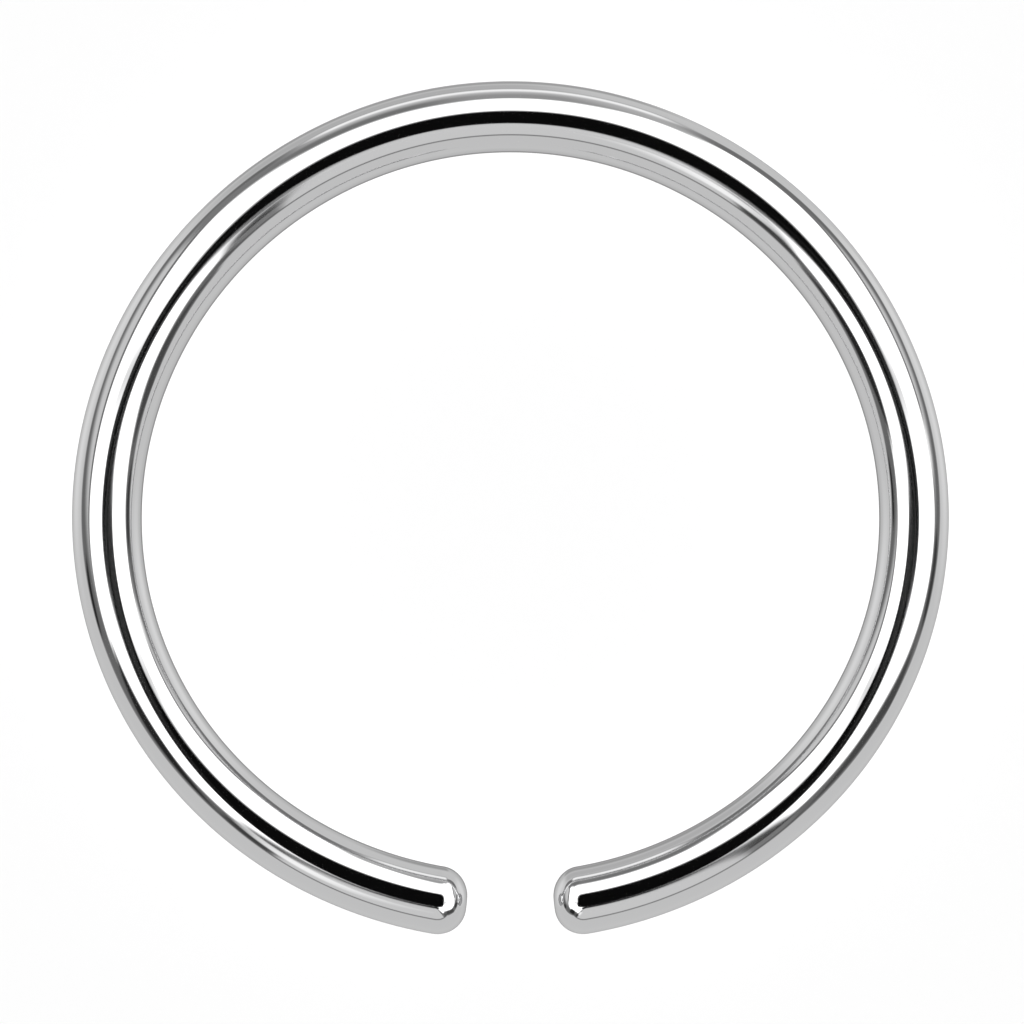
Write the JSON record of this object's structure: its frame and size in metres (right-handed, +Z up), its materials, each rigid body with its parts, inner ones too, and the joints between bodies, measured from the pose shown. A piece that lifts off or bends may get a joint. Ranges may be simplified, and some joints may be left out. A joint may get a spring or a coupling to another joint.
{
  "type": "nose ring",
  "caption": "Open hoop of round polished wire with rounded ends, worn through a nose piercing.",
  "frame": {"origin": "middle of the hoop, on the surface that it lies on", "axes": "+Z up, square to the plane of the hoop; the gap between the ends faces -Y; +X runs across the hoop"},
  "size_m": [0.01, 0.0101, 0.0008],
  "materials": {
    "polished_steel": "high polish, neutral silver colour"
  },
  "bodies": {
    "root": {"hoop": "polished_steel"}
  },
  "joints": []
}
